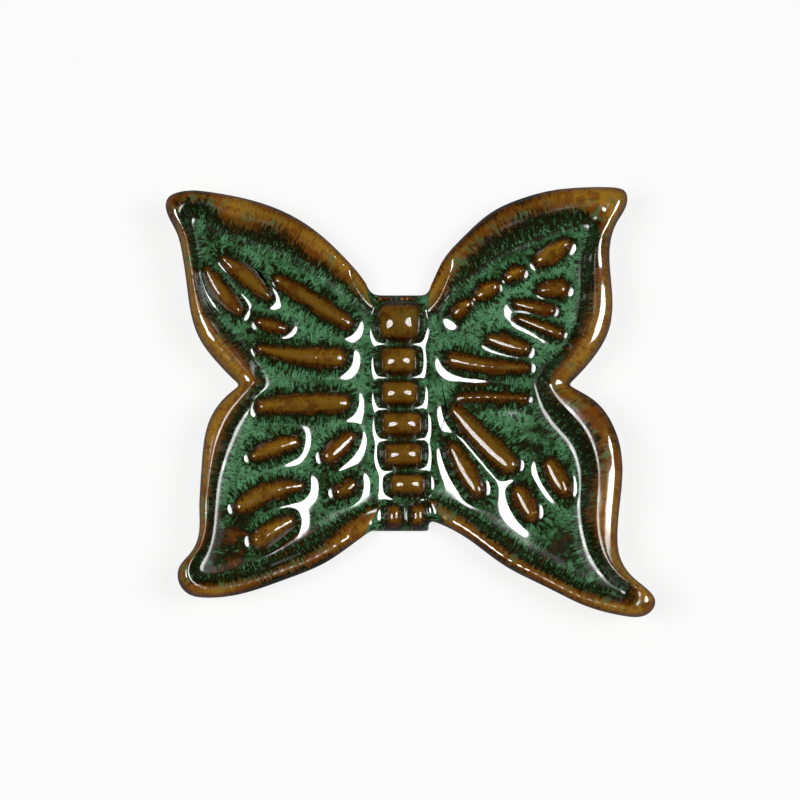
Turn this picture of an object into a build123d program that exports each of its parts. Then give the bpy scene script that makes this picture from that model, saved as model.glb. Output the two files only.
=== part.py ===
from build123d import *
from math import cos, radians, sin, tan
import os

os.makedirs("parts", exist_ok=True)

# A glazed pottery butterfly for a wall or a table.  Four dished wing leaves are
# joined with slip to a flat body strip, and small pillows of clay, the cells of
# the wings and the segments of the body, are pressed onto them before firing.
# All sizes are in millimetres, X runs across the wings, +Y towards the head.

# Body strip
body_half_width = 8.4
body_length = 72.6
waist_from_front = 29.0
strip_top_rounding = 0.6
strip_foot_rounding = 2.2

# Wing leaves
dihedral = 9.0
floor_thickness = 5.5
rim_rise = 4.0
seam_overrun = 5.0
rim_overrun = 7.0
channel_width = 7.0
channel_start = 1.0
left_fore_span = 65.0
left_fore_reach = 59.6
right_fore_span = 62.5
right_fore_reach = 60.8
left_hind_span = 59.6
left_hind_reach = 64.4
right_hind_span = 68.8
right_hind_reach = 69.8

# Pillows on the wings
cell_half_width = 3.0
cell_height = 2.2

# Pillows on the body, laid one behind the other from the front edge
head_width = 14.0
head_depth = 12.3
head_height = 5.2
head_corner = 3.6
head_shift = -0.6
segment_width = 13.0
segment_height = 4.4
segment_corner = 2.4
pillow_gap = 1.0
antenna_root_width = 5.0
antenna_root_depth = 2.0
antenna_root_height = 1.2
antenna_root_corner = 0.9
antenna_root_gap = 1.6
antenna_root_shift = -1.4
tail_width = 5.4
tail_depth = 7.6
tail_height = 3.4
tail_corner = 1.6
tail_gap = 1.8
tail_setback = 0.664
tail_shift = 1.5

waist_y = body_length / 2 - waist_from_front
strip_top = floor_thickness / cos(radians(dihedral))

# How a section of the rim runs: the share of the way across the rim, from the
# outer edge to the dish, and the share of the height at that place.  Heights up
# to the crest are shares of the whole rim, those after it of its rise.
outer_wall_shares = ((0.3, 0.0), (0.02, 0.24), (0.02, 0.68), (0.16, 0.93), (0.38, 1.0))
inner_wall_shares = ((0.6, 0.84), (0.8, 0.3), (1.0, 0.0))

# Stations round each wing, as shares of its span out from the body and of its
# reach from the waist: first the outer edge, then the inner edge of the rim.
left_fore_stations_shares = (
    ((-0.02, 0.42), (-0.03, 0.34)),
    ((0.035, 0.525), (0.035, 0.405)),
    ((0.115, 0.63), (0.16, 0.525)),
    ((0.245, 0.77), (0.31, 0.635)),
    ((0.42, 0.895), (0.47, 0.715)),
    ((0.615, 0.965), (0.64, 0.77)),
    ((0.8, 0.995), (0.775, 0.825)),
    ((0.93, 0.99), (0.835, 0.86)),
    ((0.995, 0.945), (0.87, 0.865)),
    ((0.99, 0.885), (0.885, 0.83)),
    ((0.945, 0.79), (0.875, 0.765)),
    ((0.915, 0.67), (0.855, 0.665)),
    ((0.895, 0.535), (0.835, 0.54)),
    ((0.875, 0.385), (0.805, 0.415)),
    ((0.83, 0.235), (0.735, 0.305)),
    ((0.76, 0.13), (0.65, 0.21)),
    ((0.68, 0.04), (0.57, 0.1)),
    ((0.59, -0.045), (0.51, -0.045)),
)
right_fore_stations_shares = (
    ((-0.035, 0.42), (-0.035, 0.325)),
    ((0.04, 0.56), (0.065, 0.41)),
    ((0.09, 0.655), (0.14, 0.505)),
    ((0.195, 0.775), (0.25, 0.595)),
    ((0.32, 0.885), (0.385, 0.685)),
    ((0.49, 0.96), (0.54, 0.745)),
    ((0.655, 0.995), (0.655, 0.785)),
    ((0.81, 1.0), (0.735, 0.805)),
    ((0.925, 0.995), (0.785, 0.815)),
    ((0.99, 0.97), (0.81, 0.8)),
    ((0.99, 0.91), (0.81, 0.76)),
    ((0.945, 0.83), (0.8, 0.71)),
    ((0.91, 0.73), (0.78, 0.64)),
    ((0.905, 0.595), (0.77, 0.535)),
    ((0.915, 0.445), (0.765, 0.42)),
    ((0.895, 0.27), (0.74, 0.3)),
    ((0.83, 0.15), (0.695, 0.205)),
    ((0.75, 0.055), (0.62, 0.11)),
    ((0.655, -0.035), (0.535, -0.035)),
)
left_hind_stations_shares = (
    ((0.62, -0.06), (0.55, -0.06)),
    ((0.705, 0.005), (0.63, 0.07)),
    ((0.78, 0.065), (0.715, 0.185)),
    ((0.85, 0.165), (0.76, 0.285)),
    ((0.88, 0.295), (0.795, 0.38)),
    ((0.89, 0.445), (0.82, 0.485)),
    ((0.895, 0.585), (0.83, 0.595)),
    ((0.9, 0.72), (0.84, 0.695)),
    ((0.945, 0.8), (0.86, 0.77)),
    ((0.995, 0.86), (0.89, 0.825)),
    ((0.995, 0.925), (0.9, 0.88)),
    ((0.95, 0.98), (0.87, 0.905)),
    ((0.845, 1.0), (0.785, 0.905)),
    ((0.675, 0.98), (0.665, 0.87)),
    ((0.465, 0.915), (0.5, 0.805)),
    ((0.25, 0.83), (0.315, 0.72)),
    ((0.11, 0.74), (0.16, 0.63)),
    ((0.02, 0.68), (0.04, 0.57)),
    ((-0.045, 0.645), (-0.035, 0.54)),
)
right_hind_stations_shares = (
    ((0.575, -0.05), (0.5, -0.05)),
    ((0.66, 0.015), (0.525, 0.09)),
    ((0.755, 0.075), (0.57, 0.165)),
    ((0.82, 0.16), (0.63, 0.235)),
    ((0.86, 0.28), (0.67, 0.31)),
    ((0.865, 0.41), (0.69, 0.415)),
    ((0.85, 0.54), (0.685, 0.525)),
    ((0.84, 0.655), (0.695, 0.635)),
    ((0.85, 0.75), (0.725, 0.73)),
    ((0.905, 0.835), (0.775, 0.81)),
    ((0.97, 0.89), (0.84, 0.865)),
    ((1.0, 0.94), (0.88, 0.895)),
    ((0.97, 0.99), (0.875, 0.92)),
    ((0.855, 1.0), (0.81, 0.91)),
    ((0.69, 0.955), (0.7, 0.875)),
    ((0.525, 0.875), (0.56, 0.8)),
    ((0.34, 0.78), (0.385, 0.695)),
    ((0.19, 0.67), (0.24, 0.59)),
    ((0.075, 0.605), (0.115, 0.52)),
    ((-0.035, 0.57), (-0.035, 0.475)),
)


# A pillow's sections from its seat to its top: the share of a cell's half width,
# or of a body pillow's corner, and the share of the height.
pillow_shares = ((1.0, 0.0), (0.9, 0.6), (0.6, 0.92), (0.2, 1.0))
body_pillow_shares = ((1.0, 0.0), (0.96, 0.55), (0.72, 0.86), (0.2, 1.0))

# The cells of each wing: the start, middle and end of the spine as shares of
# the span and the reach, then the half width at those places as shares of the
# cell's half width.
cells_shares = {
    "left_fore_wing": (
        ("upper_cell", (0.72, 0.64), (0.61, 0.55), (0.505, 0.445), (0.55, 1.1, 0.5)),
        ("outer_cell", (0.8, 0.585), (0.735, 0.48), (0.65, 0.375), (0.5, 1.0, 0.7)),
        ("long_cell", (0.465, 0.54), (0.295, 0.43), (0.14, 0.33), (0.7, 1.05, 0.9)),
        ("small_cell", (0.55, 0.32), (0.495, 0.305), (0.435, 0.29), (0.6, 0.8, 0.6)),
        ("lower_cell", (0.545, 0.18), (0.365, 0.15), (0.185, 0.145), (0.6, 1.05, 1.2)),
    ),
    "right_fore_wing": (
        ("tip_cell", (0.565, 0.63), (0.63, 0.665), (0.685, 0.705), (0.8, 1.0, 0.7)),
        ("upper_bead", (0.41, 0.545), (0.435, 0.56), (0.46, 0.575), (0.7, 0.85, 0.7)),
        ("middle_bead", (0.27, 0.46), (0.305, 0.48), (0.335, 0.5), (0.8, 0.95, 0.75)),
        ("inner_bead", (0.155, 0.375), (0.175, 0.395), (0.2, 0.415), (0.8, 0.9, 0.8)),
        ("round_cell", (0.575, 0.475), (0.625, 0.48), (0.66, 0.48), (0.7, 0.95, 0.95)),
        ("upper_vane", (0.45, 0.41), (0.53, 0.39), (0.615, 0.37), (0.55, 0.75, 0.6)),
        ("middle_vane", (0.46, 0.335), (0.56, 0.295), (0.65, 0.255), (0.5, 0.7, 0.7)),
        ("lower_vane", (0.32, 0.235), (0.41, 0.205), (0.48, 0.18), (0.7, 1.0, 0.8)),
        ("lower_cell", (0.135, 0.135), (0.305, 0.1), (0.49, 0.085), (0.9, 0.9, 0.6)),
    ),
    "left_hind_wing": (
        ("band", (0.575, 0.105), (0.385, 0.09), (0.17, 0.08), (0.95, 1.2, 1.1)),
        ("upper_cell", (0.615, 0.34), (0.52, 0.3), (0.42, 0.27), (0.75, 1.05, 0.8)),
        ("middle_cell", (0.68, 0.575), (0.565, 0.515), (0.385, 0.475), (1.0, 1.15, 0.65)),
        ("lower_cell", (0.59, 0.73), (0.525, 0.685), (0.435, 0.64), (1.05, 1.1, 0.7)),
        ("inner_cell", (0.235, 0.33), (0.185, 0.285), (0.13, 0.24), (1.05, 1.1, 0.75)),
        ("root_cell", (0.185, 0.5), (0.15, 0.485), (0.12, 0.465), (0.8, 0.95, 0.8)),
    ),
    "right_hind_wing": (
        ("band", (0.145, 0.05), (0.3, 0.05), (0.44, 0.06), (0.55, 0.65, 0.55)),
        ("long_cell", (0.13, 0.105), (0.24, 0.225), (0.365, 0.345), (0.8, 1.25, 1.2)),
        ("inner_cell", (0.12, 0.27), (0.17, 0.36), (0.225, 0.455), (0.8, 1.15, 0.95)),
        ("lower_cell", (0.41, 0.465), (0.435, 0.515), (0.46, 0.56), (0.85, 1.0, 0.85)),
        ("outer_cell", (0.545, 0.35), (0.575, 0.405), (0.605, 0.46), (0.85, 1.1, 0.85)),
    ),
}

# The body segments from the head to the tail: width, depth and sideways shift.
segments_shares = (
    (0.94, 1.12, -0.05),
    (0.97, 1.02, -0.03),
    (1.03, 0.99, 0.02),
    (0.99, 1.0, 0.05),
    (0.92, 0.91, 0.15),
)


def wing_plane(side):
    """Plane of a wing's underside: +X outwards on the right, hinged at the body strip."""
    tilt = radians(dihedral)
    return Plane(
        origin=(side * body_half_width, waist_y, 0),
        x_dir=(cos(tilt), 0, side * sin(tilt)),
        z_dir=(-side * sin(tilt), 0, cos(tilt)),
    )


def floor_direction(side):
    """Direction in which a wing's floor climbs, across the body and up."""
    return (side * cos(radians(dihedral)), sin(radians(dihedral)))


def floor_edge(side, outwards, rise=0):
    """Place above a wing's floor, at a distance out from the side of the body strip."""
    climb = outwards * tan(radians(dihedral))
    return (side * (body_half_width + outwards), strip_top + climb + rise)


def rim_sections():
    """Share across the rim and height above the underside of each section of a wing."""
    rim_height = floor_thickness + rim_rise
    sections = [(across, share * rim_height) for across, share in outer_wall_shares]
    sections += [(across, floor_thickness + share * rim_rise) for across, share in inner_wall_shares]
    return sections


def wing_leaf(side, sense, span, reach, stations):
    """A dished leaf with a rounded rim, cut off where it meets the body and the next wing."""
    plane = wing_plane(side)
    with BuildPart() as leaf:
        for across, height in rim_sections():
            corner = seam_overrun + rim_overrun * (1 - across)
            with BuildSketch(plane.offset(height)):
                with BuildLine():
                    edge = [
                        (
                            side * span * (outer[0] + (inner[0] - outer[0]) * across),
                            sense * reach * (outer[1] + (inner[1] - outer[1]) * across),
                        )
                        for outer, inner in stations
                    ]
                    Spline(edge)
                    Polyline(edge[-1], (-side * corner, -sense * corner), edge[0])
                make_face()
        loft(ruled=True)
        with BuildSketch(Plane.XZ):
            with BuildLine():
                foot = floor_edge(side, -channel_start)
                crest = floor_edge(side, channel_width, rim_rise)
                slope = TangentArc(foot, crest, tangent=floor_direction(side))
                Polyline(slope @ 1, (slope.start_point().X, crest[1]), slope @ 0)
            make_face()
        extrude(amount=body_length, both=True, mode=Mode.SUBTRACT)
        body_side = Plane.YZ.offset(side * body_half_width)
        split(bisect_by=body_side, keep=Keep.TOP if side > 0 else Keep.BOTTOM)
        waist = Plane.XZ.offset(-waist_y)
        split(bisect_by=waist, keep=Keep.BOTTOM if sense > 0 else Keep.TOP)
    return leaf


def bent_outline(spine, half_widths):
    """Closed outline of four arcs round a bent spine, with a half width at each of its places."""
    start, middle, end = spine
    along = (end - start).normalized()
    across = Vector(-along.Y, along.X)
    left = [place + across * half for place, half in zip(spine, half_widths)]
    right = [place - across * half for place, half in zip(spine, half_widths)]
    ThreePointArc(*left)
    ThreePointArc(left[2], end + along * half_widths[2], right[2])
    ThreePointArc(*reversed(right))
    ThreePointArc(right[0], start - along * half_widths[0], left[0])


def wing_cell(side, sense, span, reach, spine_shares, width_shares):
    """A pillow of clay seated on the floor of a wing."""
    floor = wing_plane(side).offset(floor_thickness)
    spine = [Vector(side * span * u, sense * reach * v) for u, v in spine_shares]
    height = cell_height * max(width_shares)
    with BuildPart() as cell:
        for swell, rise in pillow_shares:
            with BuildSketch(floor.offset(rise * height)):
                with BuildLine():
                    bent_outline(spine, [cell_half_width * width * swell for width in width_shares])
                make_face()
        loft(ruled=True)
    return cell


def body_pillow(width, depth, corner, x, y, height):
    """A pillow seated on the body strip, its sides drawn in towards its top."""
    with BuildPart() as pillow:
        for swell, rise in body_pillow_shares:
            inset = corner * (1 - swell)
            with BuildSketch(Plane.XY.offset(strip_top + rise * height)):
                with Locations((x, y)):
                    RectangleRounded(width - 2 * inset, depth - 2 * inset, corner - inset)
        loft(ruled=True)
    return pillow


def save(piece, name):
    """Label a finished piece and write it under its own name."""
    piece.part.label = name
    export_step(piece.part, f"parts/{name}.step")


wings = (
    ("left_fore_wing", -1, 1, left_fore_span, left_fore_reach, left_fore_stations_shares),
    ("right_fore_wing", 1, 1, right_fore_span, right_fore_reach, right_fore_stations_shares),
    ("left_hind_wing", -1, -1, left_hind_span, left_hind_reach, left_hind_stations_shares),
    ("right_hind_wing", 1, -1, right_hind_span, right_hind_reach, right_hind_stations_shares),
)
for name, side, sense, span, reach, stations in wings:
    save(wing_leaf(side, sense, span, reach, stations), name)
    for cell_name, *ends, widths in cells_shares[name]:
        save(wing_cell(side, sense, span, reach, ends, widths), name.replace("wing", cell_name))

with BuildPart() as strip:
    with BuildSketch(Plane.XY):
        Rectangle(body_half_width * 2, body_length)
    extrude(amount=strip_top)
    fillet(strip.edges().filter_by(Axis.X).group_by(Axis.Z)[-1], strip_top_rounding)
    fillet(strip.edges().filter_by(Axis.X).group_by(Axis.Z)[0], strip_foot_rounding)
save(strip, "body_strip")

# The segments share the length that the head, the tail and the antenna roots leave.
end_room = 2 * strip_top_rounding + antenna_root_depth + pillow_gap / 2
head_room = head_depth + pillow_gap
tail_room = tail_depth + tail_setback
gap_room = len(segments_shares) * pillow_gap
segment_room = body_length - end_room - head_room - tail_room - gap_room
deep_total = sum(deep for wide, deep, shift in segments_shares)

front = body_length / 2 - strip_top_rounding
for name, side in (("left_antenna_root", -1), ("right_antenna_root", 1)):
    x = antenna_root_shift + side * (antenna_root_width + antenna_root_gap) / 2
    y = front - antenna_root_depth / 2
    size = (antenna_root_width, antenna_root_depth, antenna_root_corner)
    save(body_pillow(*size, x, y, antenna_root_height), name)

front -= antenna_root_depth + pillow_gap / 2
size = (head_width, head_depth, head_corner)
save(body_pillow(*size, head_shift, front - head_depth / 2, head_height), "head_pillow")
front -= head_depth + pillow_gap

for number, (wide, deep, shift) in enumerate(segments_shares, start=1):
    depth = segment_room * deep / deep_total
    size = (segment_width * wide, depth, segment_corner)
    segment = body_pillow(*size, segment_width * shift, front - depth / 2, segment_height)
    save(segment, f"body_segment_{number}")
    front -= depth + pillow_gap

for name, side in (("left_tail_pillow", -1), ("right_tail_pillow", 1)):
    x = tail_shift + side * (tail_width + tail_gap) / 2
    y = front - tail_setback - tail_depth / 2
    save(body_pillow(tail_width, tail_depth, tail_corner, x, y, tail_height), name)
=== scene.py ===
# %% [markdown]
# A glazed pottery butterfly
#
# The real object is hand built.  Four dished wings are joined to a flat strip of
# clay, small pillows of clay are pressed onto them, and a thick running glaze
# breaks amber over everything raised and pools green in the hollows.
# This lesson dresses the construction model in that glaze.  Every length is in
# metres, and a millimetre has its own name, because pottery is thought of in them.

from math import cos, radians, sin
from types import SimpleNamespace

import bpy
import numpy as np
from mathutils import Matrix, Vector
from mathutils.kdtree import KDTree


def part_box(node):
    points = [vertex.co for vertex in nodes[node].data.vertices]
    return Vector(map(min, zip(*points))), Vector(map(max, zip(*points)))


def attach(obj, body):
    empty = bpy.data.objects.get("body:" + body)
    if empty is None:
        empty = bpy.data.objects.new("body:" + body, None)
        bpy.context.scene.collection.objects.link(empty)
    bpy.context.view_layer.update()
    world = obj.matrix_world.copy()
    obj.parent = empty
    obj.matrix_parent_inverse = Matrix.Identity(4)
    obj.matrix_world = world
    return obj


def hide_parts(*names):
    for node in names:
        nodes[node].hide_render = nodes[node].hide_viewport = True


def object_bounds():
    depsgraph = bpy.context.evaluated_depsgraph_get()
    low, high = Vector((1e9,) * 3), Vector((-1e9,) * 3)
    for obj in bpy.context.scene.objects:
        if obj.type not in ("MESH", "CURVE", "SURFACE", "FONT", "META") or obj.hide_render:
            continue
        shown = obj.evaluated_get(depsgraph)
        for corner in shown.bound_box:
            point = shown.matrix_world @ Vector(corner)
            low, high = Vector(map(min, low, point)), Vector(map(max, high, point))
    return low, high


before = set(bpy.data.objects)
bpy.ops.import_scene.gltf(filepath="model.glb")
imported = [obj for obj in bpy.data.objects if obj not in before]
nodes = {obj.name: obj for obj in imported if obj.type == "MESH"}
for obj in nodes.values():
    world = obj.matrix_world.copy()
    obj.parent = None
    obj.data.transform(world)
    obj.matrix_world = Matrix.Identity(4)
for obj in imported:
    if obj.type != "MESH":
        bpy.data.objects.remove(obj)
cad_low, cad_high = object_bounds()
MM = 0.001
print(len(nodes), "pieces of clay in the construction model")

# %% [markdown]
# Selecting first
#
# An operator acts on everything that is selected, and loading leaves the model
# selected.  So each step starts by saying what it works on.  A modifier could
# stay live on its object, but the next step often needs its result as a mesh,
# so here it is applied as soon as it is set.

# %% Choose what the next operator works on
def only(*pieces):
    """Deselect everything, then select these pieces and make the first one active."""
    if bpy.context.object and bpy.context.object.mode != "OBJECT":
        bpy.ops.object.mode_set(mode="OBJECT")
    bpy.ops.object.select_all(action="DESELECT")
    for piece in pieces:
        piece.select_set(True)
    bpy.context.view_layer.objects.active = pieces[0]


def finish_modifier(piece, kind, **settings):
    """Add a modifier, set it and apply it."""
    only(piece)
    modifier = piece.modifiers.new(kind.title(), kind)
    for name, value in settings.items():
        setattr(modifier, name, value)
    bpy.ops.object.modifier_apply(modifier=modifier.name)


# %% [markdown]
# Where the clay lies
#
# A wing leaf is a slab that climbs away from the body at a small angle.  Heights
# on it are measured square to the slab, so the places below are worked out from
# the leaf's own plane, and the plane from the box of the body strip.

# %% The planes of the leaves
DIHEDRAL = radians(9.0)
strip_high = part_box("body_strip")[1]
BODY_SIDE = strip_high.x
STRIP_TOP = strip_high.z
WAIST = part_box("left_fore_wing")[0].y
SLAB = STRIP_TOP * cos(DIHEDRAL)
WINGS = {
    "left_fore_wing": (-1, 1),
    "right_fore_wing": (1, 1),
    "left_hind_wing": (-1, -1),
    "right_hind_wing": (1, -1),
}
CELLS = [name for name in nodes if name.endswith(("_cell", "_bead", "_vane", "_band"))]
PILLOWS = [name for name in nodes if name.endswith("_pillow") or "segment" in name or "antenna" in name]


def leaf_height(places):
    """Height above the underside of the leaf or strip that a place belongs to."""
    out = np.maximum(np.abs(places[:, 0]) - BODY_SIDE, 0)
    tilted = places[:, 2] * cos(DIHEDRAL) - out * sin(DIHEDRAL)
    return np.where(out > 0, tilted, places[:, 2] * cos(DIHEDRAL))


print(f"slab {SLAB / MM:.2f} mm, body {2 * BODY_SIDE / MM:.1f} mm wide, waist at y {WAIST / MM:.1f} mm")

# %% [markdown]
# Copies to work on
#
# The construction model itself is never touched.  Its meshes are loose
# triangles, so a copy is merged first, and then it can be selected and cut.
# The copy also drops the shading normals that came with the file, which no
# longer fit once its points are merged.

# %% Copy a node as a merged mesh
MERGE = 0.001 * MM


def clay_copy(name):
    """A free copy of a node's mesh, its double points merged."""
    piece = bpy.data.objects.new("clay_" + name, nodes[name].data.copy())
    piece.data.materials.clear()
    bpy.context.collection.objects.link(piece)
    only(piece)
    bpy.ops.object.mode_set(mode="EDIT")
    bpy.ops.mesh.select_all(action="SELECT")
    bpy.ops.mesh.remove_doubles(threshold=MERGE)
    bpy.ops.object.mode_set(mode="OBJECT")
    bpy.ops.mesh.customdata_custom_splitnormals_clear()
    return piece


def corner_places(piece):
    """The piece's points as rows of x, y and z."""
    places = np.empty(3 * len(piece.data.vertices))
    piece.data.vertices.foreach_get("co", places)
    return places.reshape(-1, 3)


copies = {name: clay_copy(name) for name in nodes}
print("copied", len(copies), "pieces")

# %% [markdown]
# The feet of the raised places
#
# The glaze follows the relief: it is thin on a pillow or a rim and thick
# between them.  So each point of the surface needs to know the nearest foot of
# something raised.  The feet are the edges where a flat floor or seat meets a
# sloping wall, and they are read from the merged copies.  An edge is long and a
# wall may be curved, so each one is kept as samples a fraction of a millimetre
# apart, and a tree finds the nearest sample quickly.  A wing's floor also ends
# at its upright joints with the body and the other wing, where nothing rises,
# so those edges are passed over.

# %% Sample the foot of one piece
SAMPLE = 0.6 * MM
FLATNESS = 0.02 * MM
UPRIGHT = 0.2


def finder(samples):
    """A tree that finds the nearest sample to a place on the plan."""
    tree = KDTree(len(samples))
    for number, sample in enumerate(samples):
        tree.insert((sample[0], sample[1], 0), number)
    tree.balance()
    return tree


def faces_at_edges(piece, level):
    """For each edge its faces: whether each is flat at this level, upright there, and its middle."""
    flat_points = np.abs(leaf_height(corner_places(piece)) - level) < FLATNESS
    touching = {}
    for face in piece.data.polygons:
        flat = all(flat_points[corner] for corner in face.vertices)
        upright = flat_points[list(face.vertices)].sum() == 2 and abs(face.normal.z) < UPRIGHT
        for key in face.edge_keys:
            touching.setdefault(key, []).append((flat, upright, face.center.xy))
    return touching


def foot_samples(piece, level, floor_inside):
    """Samples along the edges where a flat face at this height meets a slope."""
    places = corner_places(piece)
    samples = []
    for (start, end), faces in faces_at_edges(piece, level).items():
        if len(faces) != 2 or faces[0][0] == faces[1][0]:
            continue
        flat, slope = sorted(faces, key=lambda face: not face[0])
        if floor_inside and slope[1]:
            continue
        a, b = Vector(places[start]).xy, Vector(places[end]).xy
        run = (b - a).normalized()
        side = Vector((-run.y, run.x))
        if (side.dot(flat[2] - a) > 0) != floor_inside:
            side = -side
        count = max(1, round((b - a).length / SAMPLE))
        for step in range(count):
            middle = a.lerp(b, (step + 0.5) / count)
            samples.append((*middle, *run, *side, (b - a).length / count / 2))
    return samples


# %% [markdown]
# Whose foot it is
#
# A wing's foot is the inner edge of its rim, with the floor inside it.  A
# pillow's foot is its own outline, with the floor outside it.  Each sample
# remembers its owner, because the rims and the pillows are treated differently
# later on.

# %% Collect the feet
feet, owners = [], []
for number, (name, piece) in enumerate(copies.items()):
    rows = [] if name == "body_strip" else foot_samples(piece, SLAB, name in WINGS)
    feet += rows
    owners += [number] * len(rows)
feet, owners = np.array(feet, dtype=np.float32), np.array(owners)
owner_names = list(copies)
print(len(feet), "samples along the feet of", len(set(owners)), "raised places")

# %% [markdown]
# The outer edge of the rims
#
# A rim is amber on its crest and darker towards both sides.  The foot gives its
# inner side.  Its outer side is the edge where the upright wall ends and the
# roll begins, which lies level all round, so it is found by its height.

# %% Collect the outer edge
EDGE_LEVEL = 0.05 * MM
WALL_SHARE = 0.24


def edge_samples(piece, height):
    """Samples along the edges that lie level at this height of the leaf."""
    places = corner_places(piece)
    level = np.abs(leaf_height(places) - height) < EDGE_LEVEL
    samples = []
    for edge in piece.data.edges:
        start, end = edge.vertices
        if level[start] and level[end]:
            a, b = places[start, :2], places[end, :2]
            count = max(1, round(np.hypot(*(b - a)) / SAMPLE))
            samples += [a + (b - a) * (step + 0.5) / count for step in range(count)]
    return samples


RIM_HEIGHT = leaf_height(corner_places(copies["left_fore_wing"])).max()
WALL = WALL_SHARE * RIM_HEIGHT
edge_rows = [row for name in WINGS for row in edge_samples(copies[name], WALL)]
outer_edge = np.array(edge_rows, dtype=np.float32)
print(len(outer_edge), "samples round the outer edge, rim", round(RIM_HEIGHT / MM, 2), "mm high")

# %% [markdown]
# One skin of clay
#
# On the real object slip and glaze run over every joint, so no edge is crisp.
# Rounding each edge with a bevel would leave the joints open.  So the copies
# are joined, swollen by a hair so that they overlap, and remeshed into one
# skin, which a smoothing pass softens as glaze does.  Later the skin is cut
# back into its pieces along their real joints.

# %% Join and remesh
VOXEL = 0.4 * MM
HAIR = 0.06 * MM


def swell_all(piece, distance):
    """Push every point of a piece outwards."""
    only(piece)
    bpy.ops.object.mode_set(mode="EDIT")
    bpy.ops.mesh.select_all(action="SELECT")
    bpy.ops.transform.shrink_fatten(value=distance)
    bpy.ops.object.mode_set(mode="OBJECT")


boxes = {name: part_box(name) for name in PILLOWS}
cutters = {name: clay_copy(name) for name in CELLS + PILLOWS}
only(*copies.values())
bpy.ops.object.join()
skin = bpy.context.object
skin.name = "skin"
swell_all(skin, HAIR)
skin.data.remesh_voxel_size = VOXEL
bpy.ops.object.voxel_remesh()
bpy.ops.object.shade_smooth()
print("skin has", len(skin.data.polygons), "faces")

# %% [markdown]
# Knowing the place on the relief
#
# The next steps change only some parts of the skin, so each point is asked which
# raised place owns its nearest foot, how far away that foot is, and how far over
# a rim the point lies.  A modifier listens to a group of points, each with its
# weight, so the answers end up as weights.

# %% Read the relief at any place
WEIGHT_STEPS = 50
on_wing = np.array([name in WINGS for name in owner_names])
foot_finder = finder(feet)
edge_finder = finder(outer_edge)


def read_feet(places):
    """The nearest foot of each place on the plan, how far away it is, and its owner."""
    near = np.array([foot_finder.find((x, y, 0))[1] for x, y, z in places])
    row = feet[near]
    offset = places[:, :2] - row[:, :2]
    along = np.clip((offset * row[:, 2:4]).sum(1), -row[:, 6], row[:, 6])
    closest = row[:, :2] + row[:, 2:4] * along[:, None]
    away = np.hypot(*(places[:, :2] - closest).T) * np.sign((offset * row[:, 4:6]).sum(1))
    return closest, away, owners[near]


def share_across(places, away, rim):
    """The share of the way over a rim from its outer edge, and 1 elsewhere."""
    across = np.ones(len(places))
    on_rim = np.flatnonzero(rim)
    outer = np.array([edge_finder.find((x, y, 0))[2] for x, y, z in places[on_rim]])
    if len(on_rim):
        across[on_rim] = outer / (outer - away[on_rim] + HAIR)
    return across


def weigh(piece, name, weights):
    """Keep the weights in a group of points, in small steps."""
    group = piece.vertex_groups.new(name=name)
    steps = np.round(weights * WEIGHT_STEPS).astype(int)
    for step in range(1, WEIGHT_STEPS + 1):
        group.add(np.flatnonzero(steps == step).tolist(), step / WEIGHT_STEPS, "REPLACE")


print("relief known from", len(feet) + len(outer_edge), "samples")

# %% [markdown]
# Where the clay swells
#
# Wet clay and thick glaze leave nothing flat.  The inner slope of each rim
# swells a little, which keeps its foot tight.  Its weight runs as x * x * (1 - x)
# down the slope, which is 4 / 27 at its highest, and is brought up to 1.  The
# cells in the wings get a low crown, which rises from the foot and levels off.

# %% Weigh the rims' slopes and the cells
CROWN_WIDTH = 4.0 * MM
CREST = 0.35
TO_FULL = 27 / 4
places = corner_places(skin)
height = leaf_height(places)
away, owner = read_feet(places)[1:]
inside = (away < 0) & (height > SLAB)
rim = inside & on_wing[owner]
down_slope = np.clip((share_across(places, away, rim) - CREST) / (1 - CREST), 0, 1)
weigh(skin, "slopes", rim * TO_FULL * down_slope**2 * (1 - down_slope))
rounded = 1 - (1 - np.clip(-away / CROWN_WIDTH, 0, 1)) ** 2
in_cell = np.isin(owner, [owner_names.index(name) for name in CELLS])
weigh(skin, "cells", rounded * (inside & in_cell))
print(rim.sum(), "points on the rims,", (inside & in_cell).sum(), "in the cells")

# %% [markdown]
# Domes on the body
#
# A pillow of the body swells most in its middle and not at all at its sides, so
# its weight falls off as a parabola along and across.  A narrow pillow could
# not hold the full dome, so it gets less.

# %% Weigh the body's pillows
DOME_WIDTH = 6.0 * MM
SHORT_DOME = 1.4
domes = np.zeros(len(places))
for box_low, box_high in boxes.values():
    middle, half = (box_low + box_high) / 2, (box_high - box_low) / 2
    x, y = (places[:, 0] - middle.x) / half.x, (places[:, 1] - middle.y) / half.y
    dome = np.clip(1 - x**2, 0, 1) * np.clip(1 - y**2, 0, 1)
    fullness = min(1, half.x / DOME_WIDTH, half.y / DOME_WIDTH * SHORT_DOME)
    domes = np.maximum(domes, dome * (height > SLAB + HAIR) * fullness)
weigh(skin, "domes", domes)
print(len(boxes), "domes on the body")

# %% [markdown]
# Swelling and softening
#
# Each group of weights drives one Displace modifier, which pushes straight up.
# Smoothing the whole skin then takes the last crisp edges away, and the skin is
# drawn in again by the hair that it was swollen by.

# %% Swell and soften
SWELLINGS = {"slopes": 0.9 * MM, "cells": 0.7 * MM, "domes": 2.3 * MM}
SOFTEN = 24
for group, strength in SWELLINGS.items():
    finish_modifier(skin, "DISPLACE", strength=strength, mid_level=0, direction="Z", vertex_group=group)
finish_modifier(skin, "SMOOTH", factor=0.5, iterations=SOFTEN)
swell_all(skin, -HAIR)
print("swollen by", {group: round(strength / MM, 1) for group, strength in SWELLINGS.items()}, "mm")

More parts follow.
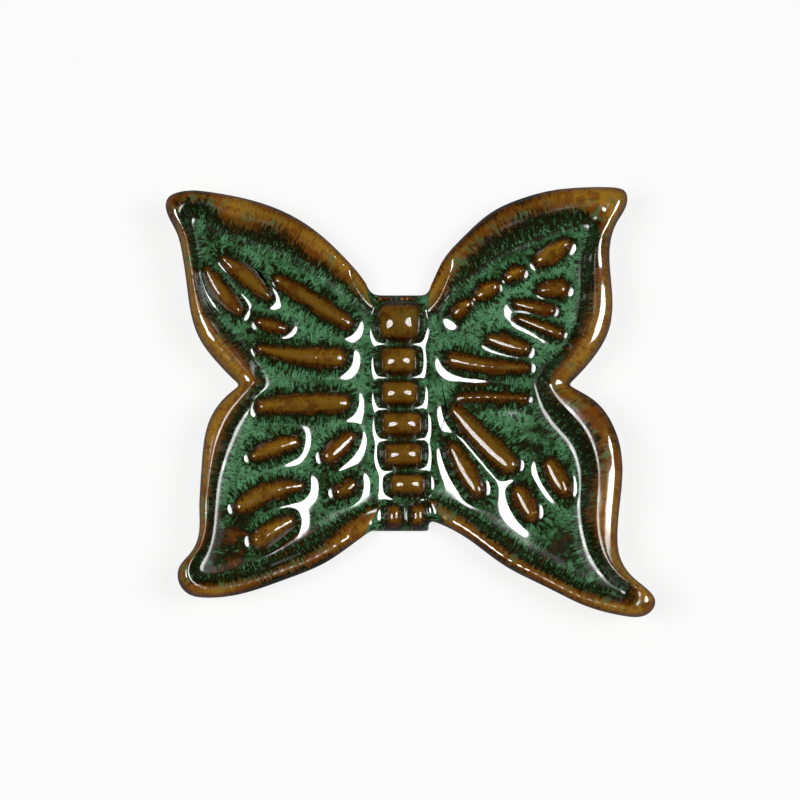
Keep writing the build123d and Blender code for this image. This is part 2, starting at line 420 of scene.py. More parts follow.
# %% [markdown]
# Pools of glaze
#
# The glaze is thickest where something raised meets the floor, and makes a wide
# soft hollow of every foot.  Only the floors are smoothed for that, through a
# group of points that grows weaker up the slopes, and far less beside the rims.

# %% Fill the hollows
OPEN_GLAZE = 0.7 * MM
CREEP = 1.0 * MM
BESIDE_RIM = 3.0 * MM
RIM_SHARE = 0.04
POOLING = 260
places = corner_places(skin)
away, owner = read_feet(places)[1:]
upper = np.clip((leaf_height(places) - OPEN_GLAZE) / SLAB, 0, 1)
beside_rim = on_wing[owner] & (away < BESIDE_RIM)
pooling = np.clip(away / CREEP + 1, 0, 1) * (upper > 0.5)
weigh(skin, "hollows", pooling * np.where(beside_rim, RIM_SHARE, 1))
weigh(skin, "top", upper)
finish_modifier(skin, "SMOOTH", factor=0.5, iterations=POOLING, vertex_group="hollows")
print(beside_rim.sum(), "points beside the rims keep their foot")

# %% [markdown]
# Nothing is quite even
#
# Hand-rolled clay is never level, and its slow waves are what bends the
# reflections.  A cloud texture moves the top up and down by a fraction of a
# millimetre, and a short smoothing follows.

# %% Make the top uneven
WAVES = 0.5 * MM
WAVE_LENGTH = 14 * MM
waves = bpy.data.textures.new("waves", "CLOUDS")
waves.noise_scale = WAVE_LENGTH
waves.noise_depth = 1
finish_modifier(skin, "DISPLACE", texture=waves, strength=WAVES, direction="Z", vertex_group="top")
finish_modifier(skin, "SMOOTH", factor=0.5, iterations=SOFTEN // 3)
skin.vertex_groups.clear()
print("skin lies between", [round(v / MM, 2) for v in corner_places(skin).min(0)],
      "and", [round(v / MM, 2) for v in corner_places(skin).max(0)])

# %% [markdown]
# Cutting the pillows out of the skin
#
# Each pillow is a piece of its own.  Its seat, pulled up like a pastry cutter
# and grown a little, marks where the skin is cut: what is inside is the pillow,
# with the glaze that climbs its foot, and what is outside keeps its seat.

# %% Make the pastry cutters
PULL = 14 * MM
SINK = 1.2 * MM
GROW = 0.3 * MM


def pastry_cutter(piece):
    """Turn a copy of a pillow into a prism over its seat, a little larger all round."""
    only(piece)
    bpy.ops.object.mode_set(mode="EDIT")
    bpy.ops.mesh.select_all(action="DESELECT")
    bpy.ops.object.mode_set(mode="OBJECT")
    seat = np.abs(leaf_height(corner_places(piece)) - SLAB) < FLATNESS
    for face in piece.data.polygons:
        face.select = all(seat[corner] for corner in face.vertices)
    bpy.ops.object.mode_set(mode="EDIT")
    bpy.ops.mesh.select_all(action="INVERT")
    bpy.ops.mesh.delete(type="FACE")
    bpy.ops.mesh.select_all(action="SELECT")
    bpy.ops.transform.translate(value=(0, 0, -SINK))
    bpy.ops.mesh.extrude_region_move(TRANSFORM_OT_translate={"value": (0, 0, PULL)})
    bpy.ops.mesh.select_all(action="SELECT")
    bpy.ops.mesh.normals_make_consistent(inside=False)
    bpy.ops.transform.shrink_fatten(value=GROW, use_even_offset=True)
    bpy.ops.object.mode_set(mode="OBJECT")


for piece in cutters.values():
    pastry_cutter(piece)
print("made", len(cutters), "cutters")

# %% [markdown]
# One cut for all of them
#
# The cutters are joined, so that one Boolean takes them all out of the skin and
# another keeps only what they hold, which then comes apart into its loose
# parts.  A Boolean for every pillow would take far longer.

# %% Cut with them
centres = {name: corner_places(piece).mean(0)[:2] for name, piece in cutters.items()}
only(*cutters.values())
bpy.ops.object.join()
cutter = bpy.context.object
cutter.name = "cutter"


def duplicate(piece, name):
    """A copy of a piece with its own mesh."""
    copy = bpy.data.objects.new(name, piece.data.copy())
    bpy.context.collection.objects.link(copy)
    return copy


dish = duplicate(skin, "dish")
cut_out = duplicate(skin, "cut_out")
finish_modifier(dish, "BOOLEAN", object=cutter, operation="DIFFERENCE", solver="MANIFOLD")
finish_modifier(cut_out, "BOOLEAN", object=cutter, operation="INTERSECT", solver="MANIFOLD")
only(cut_out)
bpy.ops.object.mode_set(mode="EDIT")
bpy.ops.mesh.select_all(action="SELECT")
bpy.ops.mesh.separate(type="LOOSE")
bpy.ops.object.mode_set(mode="OBJECT")
print("cut out", len(bpy.context.selected_objects), "parts")
print("the dish has", len(dish.data.polygons), "faces")

# %% [markdown]
# Which part is which
#
# Loose parts come back without names of their own.  Each takes the name of the
# cutter whose middle is nearest, and crumbs that the cut left are thrown away.

# %% Name the pillows
CRUMB = 100
pieces = {}
for piece in list(bpy.context.selected_objects):
    if len(piece.data.polygons) < CRUMB:
        bpy.data.objects.remove(piece)
        continue
    places = corner_places(piece)
    middle = (places.min(0) + places.max(0))[:2] / 2
    name = min(centres, key=lambda each: np.hypot(*(centres[each] - middle)))
    pieces[name] = piece
print("named", len(pieces), "pillows")

# %% [markdown]
# Slicing the dish into leaves
#
# The leaves meet the body strip along its two sides and each other along the
# waist.  Bisect slices the dish there and fills the cut, so that each leaf is
# a closed piece of its own.

# %% Slice the dish
def side_plane(side, towards):
    """The upright plane along one side of the body, keeping what lies this way of it."""
    return ((side * BODY_SIDE, 0, 0), (towards, 0, 0))


def waist_plane(towards):
    """The upright plane across the waist, keeping what lies this way of it."""
    return ((0, WAIST, 0), (0, towards, 0))


def slice_of(piece, name, *cuts):
    """A copy of a piece, keeping what lies on the side that each cut's normal points to."""
    part = duplicate(piece, name)
    only(part)
    bpy.ops.object.mode_set(mode="EDIT")
    for place, normal in cuts:
        bpy.ops.mesh.select_all(action="SELECT")
        bpy.ops.mesh.bisect(plane_co=place, plane_no=normal, use_fill=True, clear_inner=True)
    bpy.ops.object.mode_set(mode="OBJECT")
    return part


for name, (side, sense) in WINGS.items():
    pieces[name] = slice_of(dish, name, side_plane(side, side), waist_plane(sense))
pieces["body_strip"] = slice_of(dish, "body_strip", side_plane(1, -1), side_plane(-1, 1))
print({name: len(pieces[name].data.polygons) for name in (*WINGS, "body_strip")})

# %% [markdown]
# One flowing surface
#
# A cut edge would show as a kink in the gloss.  The skin that was not cut still
# knows how its surface leans, so its normals are handed to the cut pieces.
# Before that every face is turned outwards, because a Boolean can leave a piece
# inside out, and then its gloss turns black.

# %% Hand the skin's normals to the pieces
for name, piece in pieces.items():
    only(piece)
    bpy.ops.object.mode_set(mode="EDIT")
    bpy.ops.mesh.select_all(action="SELECT")
    bpy.ops.mesh.normals_make_consistent(inside=False)
    bpy.ops.object.mode_set(mode="OBJECT")
    bpy.ops.object.shade_smooth()
    finish_modifier(
        piece,
        "DATA_TRANSFER",
        object=skin,
        use_loop_data=True,
        data_types_loops={"CUSTOM_NORMAL"},
        loop_mapping="POLYINTERP_NEAREST",
    )
    piece.name = "glazed_" + name
    piece.data.name = piece.name
print("normals handed to", len(pieces), "pieces")

# %% [markdown]
# The middle of a hollow
#
# The gap is how much farther away the second nearest raised place is than the
# nearest.  It is 0 in the middle of a hollow and grows towards each foot.  It
# changes slowly, so it is measured once on a coarse grid and blended between.

# %% Measure the gaps on a grid
GRID = 1.0 * MM
starts = np.concatenate(([0], np.flatnonzero(np.diff(owners)) + 1))
grid_x = np.arange(cad_low.x, cad_high.x + GRID, GRID)
grid_y = np.arange(cad_low.y, cad_high.y + GRID, GRID)
gap_grid = np.empty((len(grid_x), len(grid_y)))
for column, x in enumerate(grid_x):
    squares = (x - feet[:, 0]) ** 2 + (grid_y[:, None] - feet[:, 1]) ** 2
    nearest_two = np.partition(np.minimum.reduceat(squares, starts, axis=1), 1, axis=1)
    gap_grid[column] = np.sqrt(nearest_two[:, 1]) - np.sqrt(nearest_two[:, 0])
print("gaps measured on", gap_grid.size, "places")


def read_grid(grid, places):
    """The grid's value at each place, blended from the four corners round it."""
    # A place on the far edge is taken a hair inside the last square.
    u = np.clip((places[:, 0] - grid_x[0]) / GRID, 0, len(grid_x) - 1.001)
    v = np.clip((places[:, 1] - grid_y[0]) / GRID, 0, len(grid_y) - 1.001)
    i, j = u.astype(int), v.astype(int)
    u, v = u - i, v - j
    near_edge = grid[i, j] * (1 - v) + grid[i, j + 1] * v
    far_edge = grid[i + 1, j] * (1 - v) + grid[i + 1, j + 1] * v
    return near_edge * (1 - u) + far_edge * u


# %% [markdown]
# Where two slopes' strokes would meet
#
# The strokes in the glaze run square to the nearest foot.  Along some lines the
# nearest foot changes sides, and the strokes would smear there.  These lines are
# found by the jump between the two ends of an edge, and the strokes fade out
# beside them.

# %% Find where the nearest foot jumps
RIDGE_JUMP = 1.2 * MM
RIDGE_STEPS = 2


def ridges(piece, closest):
    """1 along the lines where the nearest foot changes sides, fading to 0 beside them."""
    ends = np.empty(2 * len(piece.data.edges), dtype=int)
    piece.data.edges.foreach_get("vertices", ends)
    ends = ends.reshape(-1, 2)
    jump = np.hypot(*(closest[ends[:, 0]] - closest[ends[:, 1]]).T) > RIDGE_JUMP
    ridge = np.zeros(len(closest))
    ridge[ends[jump].ravel()] = 1
    for step in range(RIDGE_STEPS):
        spread = ridge.copy()
        for here, there in ((0, 1), (1, 0)):
            np.maximum.at(spread, ends[:, here], ridge[ends[:, there]] - 1 / RIDGE_STEPS)
        ridge = spread
    return ridge


# %% [markdown]
# What the glaze needs to know
#
# Seven values are written on each point.  The nearest foot, with the distance
# from it, makes the glaze run square to whatever is raised.  The gap finds the
# middle of a hollow.  Across is the share of the way over a rim, rim is 1 on a
# rim, near_rim is also 1 on the floor beside it, bare is the unglazed clay
# underneath, and ridge is where the strokes fade.

# %% Write the relief on the points
def write_value(piece, name, values):
    """Keep one number, or one row of three, for each point of the piece."""
    kind = "FLOAT" if values.ndim == 1 else "FLOAT_VECTOR"
    layer = piece.data.attributes.new(name, kind, "POINT")
    layer.data.foreach_set("value" if kind == "FLOAT" else "vector", values.astype(np.float32).ravel())


def write_relief(piece):
    """Write all that the glaze reads on the points of a piece."""
    places = corner_places(piece)
    closest, away, owner = read_feet(places)
    rim = on_wing[owner] & (away < 0)
    write_value(piece, "foot", np.column_stack((closest, away)) / MM)
    write_value(piece, "gap", read_grid(gap_grid, places) / MM)
    write_value(piece, "across", share_across(places, away, rim))
    write_value(piece, "rim", rim)
    write_value(piece, "near_rim", on_wing[owner])
    write_value(piece, "bare", leaf_height(places) < OPEN_GLAZE)
    write_value(piece, "ridge", ridges(piece, closest))


for piece in pieces.values():
    write_relief(piece)
print("relief written on", sum(len(piece.data.vertices) for piece in pieces.values()), "points")

# %% [markdown]
# Writing a material as sums
#
# A glaze is built from many small nodes.  A wire stands for the output of one of
# them, so that adding or multiplying two wires adds the node that does it, and
# the recipe reads like the sums it is made of.

# %% A wire
class Wire:
    """The output of a node, on which sums can be written."""

    def __init__(self, bench, socket):
        self.bench, self.socket = bench, socket

    def __add__(self, other):
        return self.bench.sum("ADD", self, other)

    __radd__ = __add__

    def __mul__(self, other):
        return self.bench.sum("MULTIPLY", self, other)

    __rmul__ = __mul__

    def __sub__(self, other):
        return self.bench.sum("SUBTRACT", self, other)

    def __rsub__(self, other):
        return self.bench.sum("SUBTRACT", other, self)


# %% [markdown]
# The bench
#
# The bench is where the nodes of one material are laid out.  All of them come
# from add, which gives a node its settings before its sockets, because a
# setting can change which sockets there are.  The other methods are short names
# for the nodes that a glaze needs most.

# %% A bench
class Bench:
    """A material whose nodes are added one by one."""

    def __init__(self, name):
        self.material = bpy.data.materials.new(name)
        self.material.use_nodes = True
        self.tree = self.material.node_tree
        self.tree.nodes.clear()

    def add(self, kind, settings=None, inputs=None, output=0):
        """Add a node: first its settings, then the values or wires of its sockets."""
        node = self.tree.nodes.new(kind)
        for name, value in (settings or {}).items():
            if name == "stops":
                self.set_stops(node.color_ramp, value)
            else:
                setattr(node, name, value)
        for name, value in (inputs or {}).items():
            if isinstance(value, Wire):
                self.tree.links.new(value.socket, node.inputs[name])
            else:
                node.inputs[name].default_value = value
        return Wire(self, node.outputs[output]) if node.outputs else node

    def set_stops(self, ramp, stops):
        """Give a ramp its stops, as places and colours."""
        while len(ramp.elements) < len(stops):
            ramp.elements.new(1.0)
        for element, (place, colour) in zip(ramp.elements, stops):
            element.position, element.color = place, colour

    def sum(self, operation, first, second):
        """One step of a sum on numbers."""
        return self.add("ShaderNodeMath", {"operation": operation}, {0: first, 1: second})

    def value(self, name, output="Fac"):
        """A value that was written on the points."""
        return self.add("ShaderNodeAttribute", {"attribute_name": name}, output=output)

    def part(self, places, letter):
        """One of the three numbers of each place."""
        return self.add("ShaderNodeSeparateXYZ", {}, {"Vector": places}, letter)

    def rise(self, value, low, high):
        """0 on the side of low, 1 on the side of high and a soft step between them."""
        inputs = {"Value": value, "From Min": low, "From Max": high}
        return self.add("ShaderNodeMapRange", {"interpolation_type": "SMOOTHSTEP"}, inputs)

    def spread(self, value, low, high, low_share, high_share):
        """A straight run of shares from low to high, level beyond them."""
        inputs = {"Value": value, "From Min": low, "From Max": high}
        inputs.update({"To Min": low_share, "To Max": high_share})
        return self.add("ShaderNodeMapRange", {}, inputs)

    def stretch(self, places, factors):
        """The places with each of their three numbers multiplied."""
        return self.add("ShaderNodeVectorMath", {"operation": "MULTIPLY"}, {0: places, 1: factors})

    def distance(self, places, centre):
        """How far each place lies from a centre."""
        inputs = {0: places, 1: centre}
        return self.add("ShaderNodeVectorMath", {"operation": "DISTANCE"}, inputs, "Value")

    def noise(self, places, scale, detail=2.0, roughness=0.5, distortion=0.0):
        """Uneven values from 0 to 1, with this many waves to a unit of the places."""
        inputs = {"Vector": places, "Scale": scale, "Detail": detail}
        inputs.update({"Roughness": roughness, "Distortion": distortion})
        return self.add("ShaderNodeTexNoise", {}, inputs, "Fac")

    def ramp(self, value, stops):
        """The colour that the stops give to a value."""
        return self.add("ShaderNodeValToRGB", {"stops": stops}, {"Fac": value})

    def mix(self, share, first, second):
        """The first colour, or the second where the share is 1."""
        return self.add("ShaderNodeMix", {"data_type": "RGBA"}, {0: share, 6: first, 7: second}, 2)


# %% [markdown]
# The colours of the glaze
#
# Colours are chosen as they look on a screen, from 0 to 255, and turned into
# amounts of light, which the shader works with.  A level of grey serves where a
# ramp stands for a plain number.

# %% Choose the paints
def paint(red, green, blue):
    """A colour read from 0 to 255 on a screen, as light, by the screen's own curve."""
    levels = [level / 255 for level in (red, green, blue)]
    return (*[((v + 0.055) / 1.055) ** 2.4 if v > 0.04 else v / 12.92 for v in levels], 1.0)


def grey(level):
    """A grey of this level of light."""
    return (level, level, level, 1.0)


BLACK, EARTH = paint(18, 17, 2), paint(74, 40, 4)
POOL, GREEN, MOSS = paint(92, 146, 102), paint(66, 112, 72), paint(34, 60, 22)
OLIVE, CLAY = paint(84, 82, 34), paint(196, 168, 132)
AMBER, TOFFEE, BUTTON = paint(174, 124, 28), paint(138, 84, 4), paint(206, 140, 78)
BRONZE, UMBER = paint(160, 116, 34), paint(112, 68, 8)
RUST, BARK = paint(108, 44, 8), paint(74, 44, 8)
SAND, STRAW = paint(122, 106, 40), paint(92, 68, 14)
print("green of a pool as light:", [round(level, 3) for level in POOL[:3]])

# %% [markdown]
# Uneven dipping
#
# A dipped glaze is never even.  It lies thicker on some stretches of the rims,
# which turn dark or green there, it lets brown through on some floors, and in
# two places the rim has lost its shine.  Noise alone would put these anywhere,
# so each is a soft round patch with its place on the plan and its radius in
# millimetres, and its strength.  A strength below 0 does the opposite.

# %% Lay out the patches
THICK_RIMS = (
    ((30, 58), 26, 0.26),
    ((52, 47), 20, 0.24),
    ((52, -8), 24, 0.2),
    ((55, -48), 18, 0.12),
    ((-64, 62), 13, 0.26),
    ((-36, 58), 14, 0.14),
    ((60, 62), 8, -0.1),
    ((-66, -50), 14, 0.16),
    ((-34, -50), 26, 0.26),
    ((32, -42), 24, 0.2),
    ((70, 14), 16, 0.14),
)
BROWN_FLOORS = (
    ((-54, -44), 22, 0.24),
    ((-30, -40), 16, 0.2),
    ((-34, 54), 16, 0.16),
    ((22, 8), 9, 0.2),
    ((22, -38), 14, 0.12),
    ((48, -44), 20, 0.1),
    ((44, 34), 24, -0.24),
    ((-12, 0), 8, 0.12),
    ((12, 0), 8, 0.12),
    ((0, 36), 9, -0.3),
)
QUIET_RIMS = (
    ((-38, -51), 22, 1.0),
    ((54, -50), 17, 1.0),
)
RIM_CORE, FLOOR_CORE, QUIET_CORE = 0.3, 0.2, 0.8


def patches(bench, plan, rows, core):
    """The sum of soft round patches, each full inside this share of its radius."""
    total = 0
    for (x, y), radius, strength in rows:
        apart = bench.distance(plan, (x, y, 0))
        total = total + bench.rise(apart, radius, radius * core) * strength
    return total


print(len(THICK_RIMS) + len(BROWN_FLOORS) + len(QUIET_RIMS), "patches laid out")

# %% [markdown]
# Needles and clouds
#
# Two noises are read from the nearest foot instead of the place, so they hardly
# change down a slope and make fine needles and broader tufts that run down it.
# The others are read from the place: flecks under a millimetre wide, clouds of
# a few millimetres and drifts of more than a centimetre.

# %% Read the ground of the glaze
DOWN_SLOPE = 0.25


def read_ground(bench):
    """The wires that every part of the recipe starts from."""
    ground = SimpleNamespace()
    for name in ("gap", "across", "rim", "near_rim", "bare", "ridge"):
        setattr(ground, name, bench.value(name))
    foot = bench.value("foot", "Vector")
    ground.away = bench.part(foot, "Z")
    ground.place = bench.stretch(bench.add("ShaderNodeTexCoord", {}, {}, "Object"), (1 / MM,) * 3)
    ground.plan = bench.stretch(ground.place, (1.0, 1.0, 0.0))
    down = bench.stretch(foot, (1.0, 1.0, DOWN_SLOPE))
    ground.needles = (bench.noise(down, 2.2, 3.0, 0.65, 0.3) - 0.5) * (1 - ground.ridge)
    ground.tufts = (bench.noise(down, 0.8, 2.0, 0.6, 0.4) - 0.5) * (1 - ground.ridge)
    ground.flecks = bench.noise(ground.place, 1.2, 3.0, 0.65, 1.4)
    ground.clouds = bench.noise(ground.place, 0.2, 2.0, 0.5, 0.4) - 0.5
    ground.drifts = bench.noise(ground.place, 0.075, 2.0, 0.5, 0.6)
    return ground


# %% [markdown]
# How thin the glaze lies
#
# One number decides the colour of the glaze: how thin it lies.  It is 0 in a
# pool and near 1 on a crest.  It climbs from the middle of a floor to the foot
# of a slope and on up the slope, and over a rim it follows its own ramp.  A
# thick patch takes some away on a rim, and adds a little on the floor beside
# it.  Murk is the brown that shows through the pools.  Last, the noises move the
# number up and down.

# %% Work out how thin it lies
OVER_RIM = (
    (0.0, grey(0.68)),
    (0.1, grey(0.8)),
    (0.28, grey(0.98)),
    (0.48, grey(0.86)),
    (0.75, grey(0.64)),
    (1.0, grey(0.44)),
)
BESIDE_THICK = 0.3
MURK, DRIFTING_MURK = 0.17, 0.18
NEEDLES, TUFTS, CLOUDS = 0.75, 0.45, 0.3


def thinness(bench, ground, sink):
    """How thin the glaze lies by the slopes alone, and with all that moves it."""
    up_slope = bench.spread(ground.away, -2.2, 0.0, 0.52, 0.0)
    on_floor = bench.spread(ground.away, 0.0, 2.4, 0.44, 0.0)
    slope = up_slope + on_floor
    over_rim = bench.ramp(ground.across, OVER_RIM)
    thin = slope + ground.rim * (over_rim - slope)
    thick = patches(bench, ground.plan, THICK_RIMS, RIM_CORE)
    thin = thin - thick * (ground.rim * (1 + BESIDE_THICK) - BESIDE_THICK)
    brown = patches(bench, ground.plan, BROWN_FLOORS, FLOOR_CORE)
    brown = brown + bench.rise(ground.drifts, 0.44, 0.66) * DRIFTING_MURK + MURK
    thin = thin + brown * (1 - bench.rise(thin, 0.0, 0.42)) - sink
    moved = ground.needles * NEEDLES + ground.tufts * TUFTS + ground.clouds * CLOUDS
    return slope, thin + moved


# %% [markdown]
# From thin to colour
#
# The colours follow how thin the glaze lies: green where it pools, nearly black
# at the foot of a slope, then brown, and amber where it runs thin over a crest.
# The needles in that number feather each border.  Then come the things that
# break the order: dark streaks in the brown, green on the inner slopes of the
# rims, stains of another brown, and black flecks in the pools.

# %% Colour the glaze
GROOVED, MOTTLED, STAINED, SPECKED = 0.5, 0.8, 0.6, 0.9
HOLLOW_SPECKS = 0.45


def glaze_colour(bench, ground, sink, crest, shoulder, patch, streaks):
    """The colour of the glaze, with its own colours on crests, shoulders and in stains."""
    slope, thin = thinness(bench, ground, sink)
    strokes = ground.needles + ground.tufts * 0.6
    stops = ((0.1, POOL), (0.27, GREEN), (0.38, MOSS), (0.46, BLACK), (0.54, EARTH))
    colour = bench.ramp(thin, (*stops, (0.7, shoulder), (0.92, crest)))

    grooved = bench.rise(strokes, 0.0, 0.2) * bench.rise(thin, 0.5, 0.62)
    colour = bench.mix(grooved * (GROOVED * streaks), colour, EARTH)

    inner_slope = ground.rim * bench.rise(ground.across, 0.08, 0.45)
    mottled = bench.rise(ground.drifts + ground.tufts * 0.6, 0.38, 0.58) * inner_slope
    streak = bench.mix(bench.rise(ground.clouds, -0.1, 0.1), GREEN, OLIVE)
    share = mottled * bench.rise(ground.needles + ground.tufts, -0.06, 0.16) * MOTTLED
    colour = bench.mix(share, colour, streak)

    stain = bench.rise(ground.clouds + ground.tufts * 0.5, 0.0, 0.16) * bench.rise(thin, 0.55, 0.75)
    colour = bench.mix(stain * STAINED, colour, patch)

    crowd = ground.flecks + slope * 0.2 + ground.needles * 0.9 + ground.tufts * 0.4
    speck = bench.rise(crowd, 0.49, 0.58) * (1 - bench.rise(thin, 0.5, 0.66))
    towards_foot = HOLLOW_SPECKS + (1 - HOLLOW_SPECKS) * bench.rise(ground.gap, 0.1, 1.6)
    colour = bench.mix(speck * towards_foot * SPECKED, colour, BLACK)
    return bench.mix(ground.bare, colour, CLAY)


# %% [markdown]
# Where the gloss is weak
#
# The glaze has a clear, wet coat that throws a sharp white light back.  It is
# thin in the creases and on the inner slopes of the rims, where the real
# ornament shows only faint grey arcs, most of all on the hind wings.  So the
# coat is made weaker there, in uneven stretches.

# %% Find the dull places
BEHIND, AHEAD = -4, 4
CREASED, EVENLY_DULL, DULLEST = 0.75, 0.55, 0.94


def dullness(bench, ground):
    """How much of its coat the glaze has lost, from 0 to nearly 1."""
    away, across = ground.away, ground.across
    crease = bench.rise(away, -1.1, -0.5) * (1 - bench.rise(away, 0.5, 1.1)) * CREASED
    fore = ground.near_rim * bench.rise(across, 0.4, 0.55) * (1 - bench.rise(away, 1.2, 3.2))
    hind = ground.near_rim * bench.rise(across, 0.34, 0.42) * (1 - bench.rise(away, 3.2, 4.6))
    behind = 1 - bench.rise(bench.part(ground.place, "Y"), BEHIND, AHEAD)
    uneven = EVENLY_DULL + (1 - EVENLY_DULL) * bench.rise(ground.clouds, -0.16, 0.0)
    slack = (fore + (hind - fore) * behind) * uneven
    quiet = patches(bench, ground.plan, QUIET_RIMS, QUIET_CORE) * ground.rim
    return (1 - (1 - slack) * (1 - crease) * (1 - quiet)) * DULLEST


# %% [markdown]
# The finished glaze
#
# One recipe serves the whole ornament, because it was all dipped together, and
# each piece only has its own tone.  The coat has a high index, so that the lamps
# flash white in it.  A low bump gives the glaze its slight ripple, and the bare
# clay its grain.

# %% Mix the glaze
WET_ROUGHNESS, DULL_ROUGHNESS, BARE_ROUGHNESS = 0.1, 0.11, 0.75
GLAZE_INDEX, COAT_INDEX = 1.7, 1.8
COAT_ROUGHNESS = 0.02
RIPPLE_SHARE, RIPPLE_HEIGHT = 0.2, 0.1 * MM


def glaze(name, crest, shoulder, patch, sink=0.0, streaks=1.0):
    """The running glaze in one tone; sink makes it lie thicker, streaks how streaky it is."""
    bench = Bench(name)
    ground = read_ground(bench)
    bare = ground.bare
    colour = glaze_colour(bench, ground, sink, crest, shoulder, patch, streaks)
    dull = dullness(bench, ground)
    ripple = bench.noise(ground.place, 0.35)
    grain = bench.noise(ground.place, 3.0, 3.0, 0.6)
    lumps = ripple * (1 - bare) + grain * bare
    relief = {"Strength": RIPPLE_SHARE, "Distance": RIPPLE_HEIGHT, "Height": lumps}
    inputs = {
        "Base Color": colour,
        "Roughness": WET_ROUGHNESS + bare * BARE_ROUGHNESS + dull * DULL_ROUGHNESS,
        "IOR": GLAZE_INDEX,
        "Coat Weight": (1 - bare) * (1 - dull),
        "Coat Roughness": COAT_ROUGHNESS,
        "Coat IOR": COAT_INDEX,
        "Normal": bench.add("ShaderNodeBump", {}, relief),
    }
    shader = bench.add("ShaderNodeBsdfPrincipled", {}, inputs)
    bench.add("ShaderNodeOutputMaterial", {}, {"Surface": shader})
    return bench.material


RECIPES = {
    "amber_glaze": (AMBER, TOFFEE, BRONZE),
    "root_glaze": (BUTTON, BUTTON, AMBER, -0.8, 0.2),
    "bronze_glaze": (BRONZE, UMBER, RUST),
    "rust_glaze": (TOFFEE, RUST, RUST, 0.06),
    "bark_glaze": (UMBER, BARK, EARTH, 0.16),
    "olive_glaze": (SAND, STRAW, UMBER),
    "green_glaze": (BRONZE, UMBER, RUST),
}
finishes = {name: glaze(name, *recipe) for name, recipe in RECIPES.items()}
print("mixed", len(finishes), "glazes of", len(finishes["green_glaze"].node_tree.nodes), "nodes each")

# %% [markdown]
# A tone for every piece
#
# The glaze broke differently on each pillow: some are amber, some nearly red,
# some stayed dark.  Each piece gets the glaze that is nearest to it.  The wings
# and the strip share one, and what isn't listed gets bronze.

# %% Glaze the pieces
TONES = {
    "amber_glaze": (
        "left_fore_upper_cell",
        "left_fore_outer_cell",
        "left_fore_lower_cell",
        "right_fore_tip_cell",
        "right_fore_upper_bead",
        "right_fore_middle_bead",
        "left_hind_upper_cell",
        "right_hind_lower_cell",
    ),
    "root_glaze": ("left_antenna_root", "right_antenna_root"),
    "rust_glaze": ("left_fore_small_cell", "left_hind_inner_cell", "right_hind_outer_cell"),
    "bark_glaze": ("left_hind_root_cell", "right_hind_inner_cell", "right_hind_band"),
    "olive_glaze": ("head_pillow", "left_fore_long_cell", "right_hind_long_cell"),
    "green_glaze": (*WINGS, "body_strip"),
}
tone_of = {name: tone for tone, names in TONES.items() for name in names}
for name, piece in pieces.items():
    piece.data.materials.clear()
    piece.data.materials.append(finishes[tone_of.get(name, "bronze_glaze")])
print("glazed", len(pieces), "pieces")

# %% [markdown]
# Handing the pieces over
#
# Every piece rides on the one body and stands for its own node of the
# construction model, which is hidden.

# %% Attach the pieces and hide their nodes
for piece in (skin, dish, cutter):
    bpy.data.objects.remove(piece)
for name, piece in pieces.items():
    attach(piece, "root")
    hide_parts(name)
print("registered", len(pieces), "pieces")

# %% [markdown]
# The camera
#
# The ornament lies flat, and the camera looks down on it from a little behind
# its tail.  A long lens from well away keeps the wings in proportion.  The lens
# follows from how much of the ornament's surroundings the frame takes in.

# %% Set the camera
CAMERA_LEAN = radians(8.0)
CAMERA_AWAY = 700 * MM
FRAME_WIDTH = 245.4 * MM
AIM_SIDE = -0.3 * MM
AIM_AHEAD = 4.2 * MM
SENSOR = 36.0
aim = Vector((AIM_SIDE, AIM_AHEAD * cos(CAMERA_LEAN), AIM_AHEAD * sin(CAMERA_LEAN)))
view_back = Vector((0, -sin(CAMERA_LEAN), cos(CAMERA_LEAN)))
bpy.ops.object.camera_add(location=aim + view_back * CAMERA_AWAY, rotation=(CAMERA_LEAN, 0, 0))
camera = bpy.context.object
camera.data.sensor_width = SENSOR
camera.data.lens = SENSOR * CAMERA_AWAY / FRAME_WIDTH
bpy.context.scene.camera = camera
print(f"camera with a lens of {camera.data.lens:.0f} mm")

# %% [markdown]
# The lamps
#
# Two round soft boxes stand left and right of the camera, and put the white
# shapes in the gloss.  Where a highlight falls depends only on a lamp's
# direction, so each is given by its two angles in degrees, sideways and ahead,
# and stands the same distance away, facing the ornament.

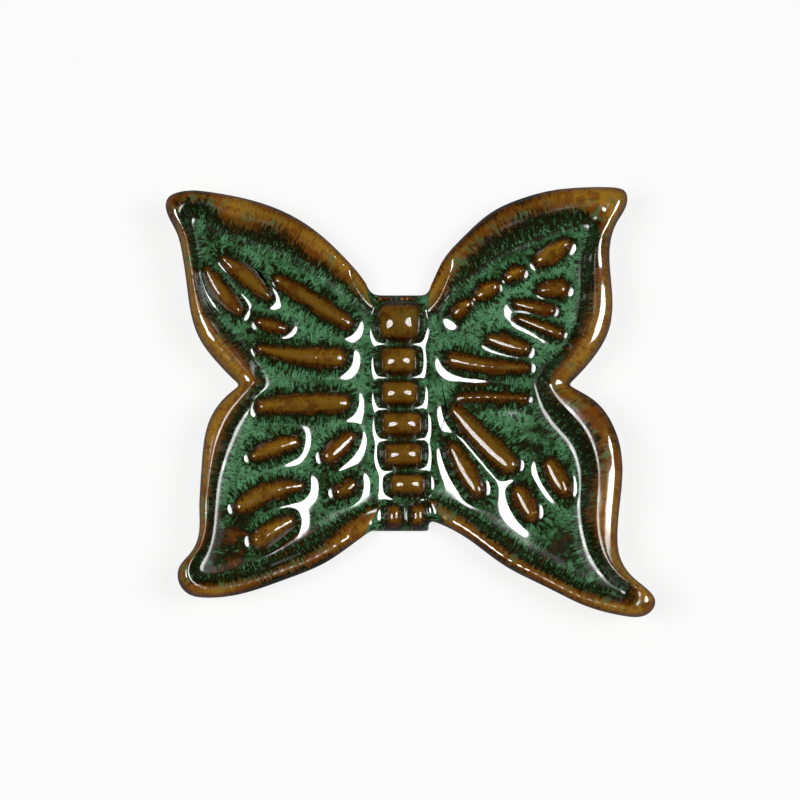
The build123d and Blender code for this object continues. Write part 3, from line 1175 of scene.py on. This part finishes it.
# %% Set the lamps
LAMP_AWAY = 1.2
LAMP_SIZE = 0.58
LAMP_POWER = 8.0
LAMPS = {"left_softbox": (-30, -4), "right_softbox": (32, 1)}
for name, (sideways, ahead) in LAMPS.items():
    lean, rise = radians(sideways), radians(ahead)
    direction = Vector((sin(lean), sin(rise), cos(lean) * cos(rise))).normalized()
    bpy.ops.object.light_add(type="AREA", location=direction * LAMP_AWAY)
    lamp = bpy.context.object
    lamp.name = name
    lamp.data.shape = "DISK"
    lamp.data.size = LAMP_SIZE
    lamp.data.energy = LAMP_POWER
    lamp.rotation_mode = "QUATERNION"
    lamp.rotation_quaternion = direction.to_track_quat("Z", "Y")
print("set", len(LAMPS), "lamps of", LAMP_POWER, "W")

# %% [markdown]
# The backdrop
#
# The camera sees white all round, but the ornament must not be lit by it, or
# the gloss would go milky.  The Light Path node tells the two apart: the sky is
# white for the camera and nearly dark for everything else.

# %% Set the backdrop
AMBIENT = 0.015
world = bpy.data.worlds.new("studio")
bpy.context.scene.world = world
world.use_nodes = True
sky = world.node_tree.nodes["Background"]
seen = world.node_tree.nodes.new("ShaderNodeLightPath").outputs["Is Camera Ray"]
level = world.node_tree.nodes.new("ShaderNodeMapRange")
level.inputs["To Min"].default_value = AMBIENT
world.node_tree.links.new(seen, level.inputs["Value"])
world.node_tree.links.new(level.outputs["Result"], sky.inputs["Strength"])
sky.inputs["Color"].default_value = (1, 1, 1, 1)
print("sky is white for the camera and", AMBIENT, "for everything else")

# %% [markdown]
# The paper
#
# The floor is pale paper that takes the ornament's shadow.  It glows for the
# camera, so that it looks as white as the sky without lighting anything, and
# in the gloss it is dark, or every slope would turn grey.

# %% Lay the paper
PAPER_SIZE = 4.0
PAPER, PAPER_IN_GLOSS = 0.9, 0.1
PAPER_GLOW = 0.8
bpy.ops.mesh.primitive_plane_add(size=PAPER_SIZE, location=(0, 0, 0))
floor = bpy.context.object
floor.name = "studio_floor"
bench = Bench("studio_floor")
glossy_ray = bench.add("ShaderNodeLightPath", {}, {}, "Is Glossy Ray")
shade = bench.mix(glossy_ray, grey(PAPER), grey(PAPER_IN_GLOSS))
paper = bench.add("ShaderNodeBsdfDiffuse", {}, {"Color": shade})
white = bench.add("ShaderNodeEmission", {}, {"Color": grey(1.0), "Strength": 1.0})
camera_ray = bench.add("ShaderNodeLightPath", {}, {}, "Is Camera Ray")
sheet = bench.add("ShaderNodeMixShader", {}, {0: camera_ray * PAPER_GLOW, 1: paper, 2: white})
bench.add("ShaderNodeOutputMaterial", {}, {"Surface": sheet})
floor.data.materials.append(bench.material)
bpy.context.scene.view_settings.view_transform = "Standard"
print("paper", PAPER_SIZE, "m wide")
